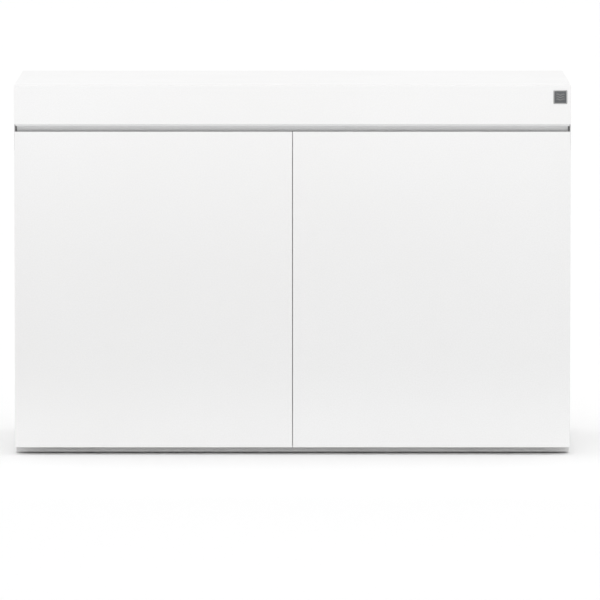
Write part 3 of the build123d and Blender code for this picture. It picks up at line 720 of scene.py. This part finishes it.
def badge():
    """A plain square plate: a satin rim, a dark enamel field, and three wave ridges."""
    low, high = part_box("badge_plate")
    centre = (low + high) / 2
    half = (high.x - low.x) / 2
    face, back = low.y, high.y
    field = face + 0.35 * MM
    steps = [
        (half, 2.0 * MM, back),
        (half, 2.0 * MM, face + 0.4 * MM),
        (half - 0.15 * MM, 1.9 * MM, face + 0.12 * MM),
        (half - 0.45 * MM, 1.7 * MM, face),
        (half - 2.2 * MM, 1.2 * MM, face),
        (half - 2.4 * MM, 1.0 * MM, field),
    ]
    rings = [rounded_square(centre, size, radius, y) for size, radius, y in steps]
    count = len(rings[0])
    vertices, faces = capped(*loft(rings), count)
    plate = piece_from("badge_rim", vertices, faces, "carcass", "badge_metal", crease=50.0)
    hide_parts("badge_plate")
    inner = half - 2.45 * MM
    levels = [(inner, field - 0.01 * MM), (inner - 0.2 * MM, field - 0.08 * MM)]
    rings = [rounded_square(centre, size, 1.0 * MM, y) for size, y in levels]
    vertices, faces = capped(*loft(rings), count)
    piece_from("badge_field", vertices, faces, "carcass", "badge_metal", "badge_enamel")
    badge_waves(centre, inner, field - 0.08 * MM)


def badge_waves(centre, half, y):
    """Three raised wave lines across the field."""
    reach, columns = half * 0.74, 48
    for index, lift in enumerate((-0.42, 0.0, 0.42)):
        rings = []
        for column in range(columns + 1):
            t = column / columns
            x = centre.x - reach + 2 * reach * t
            z = centre.z + half * lift + 1.1 * MM * sin(tau * 1.5 * t)
            width = 0.9 * MM * min(1.0, 0.35 + 5 * t, 0.35 + 5 * (1 - t))
            ring = []
            for step in range(9):
                angle = pi * step / 8
                ring.append(Vector((x, y - 0.22 * MM * sin(angle), z - width * cos(angle))))
            rings.append(ring)
        vertices, faces = capped(*loft(rings), 9)
        name = f"badge_wave_{index + 1}"
        piece_from(name, vertices, faces, "carcass", "badge_metal", "badge_chrome")


# ------------------------------------------------------------------ stage, light, camera
def floor():
    """A wide plain floor that reaches past the edge of every view."""
    reach = FLOOR_REACH
    corners = [(-reach, -reach, 0), (reach, -reach, 0), (reach, reach, 0), (-reach, reach, 0)]
    mesh = bpy.data.meshes.new("floor")
    mesh.from_pydata(corners, [], [(0, 1, 2, 3)])
    plane = bpy.data.objects.new("floor", mesh)
    bpy.context.scene.collection.objects.link(plane)
    paint = Paint("studio_floor", roughness=0.9)
    paint.colour(paint.mix(paint.noise(0.8, 2.0), grey(0.925), grey(0.935)))
    mesh.materials.append(paint.done())


def world():
    backdrop = bpy.data.worlds.new("studio")
    backdrop.use_nodes = True
    background = backdrop.node_tree.nodes["Background"]
    background.inputs["Color"].default_value = (1, 1, 1, 1)
    background.inputs["Strength"].default_value = WORLD_STRENGTH
    bpy.context.scene.world = backdrop


def softbox(name, place, target, size, power, spread):
    """A rectangular area light with a grid that narrows its beam; the camera doesn't see it."""
    lamp = bpy.data.lights.new(name, "AREA")
    lamp.shape = "RECTANGLE"
    lamp.size, lamp.size_y = size
    lamp.energy = power
    lamp.spread = radians(spread)
    light = bpy.data.objects.new(name, lamp)
    light.location = place
    light.rotation_euler = (Vector(target) - Vector(place)).to_track_quat("-Z", "Y").to_euler()
    light.visible_camera = False
    bpy.context.scene.collection.objects.link(light)


def overhead(strength):
    """A very soft light from straight above."""
    lamp = bpy.data.lights.new("overhead", "SUN")
    lamp.energy = strength
    lamp.angle = radians(60)
    light = bpy.data.objects.new("overhead", lamp)
    bpy.context.scene.collection.objects.link(light)


def lights():
    overhead(OVERHEAD_STRENGTH)
    softbox(
        "upper_front", (0.0, -2.2, 1.7), (0.0, -0.3, 0.86), (1.8, 0.3),
        UPPER_FRONT_POWER, UPPER_FRONT_SPREAD,
    )
    softbox(
        "lower_front", (0.0, -2.2, 0.5), (0.0, -0.3, -0.12), (1.8, 0.1),
        LOWER_FRONT_POWER, LOWER_FRONT_SPREAD,
    )


def camera():
    lens = bpy.data.cameras.new("camera")
    lens.lens = CAMERA_LENS
    lens.sensor_width = 36.0
    lens.clip_end = 300.0
    view = bpy.data.objects.new("camera", lens)
    back = Vector((0, -cos(CAMERA_ELEVATION), sin(CAMERA_ELEVATION)))
    view.location = CAMERA_AIM + back * CAMERA_DISTANCE
    view.rotation_euler = (pi / 2 - CAMERA_ELEVATION, 0, 0)
    bpy.context.scene.collection.objects.link(view)
    bpy.context.scene.camera = view


dress_frame()
hose_trims()
cable_grommet_pieces()
feet()
bumpers("left_door_bumpers", "left_door")
bumpers("right_door_bumpers", "right_door")
badge()
floor()
world()
lights()
camera()
bpy.context.scene.view_settings.view_transform = "Standard"
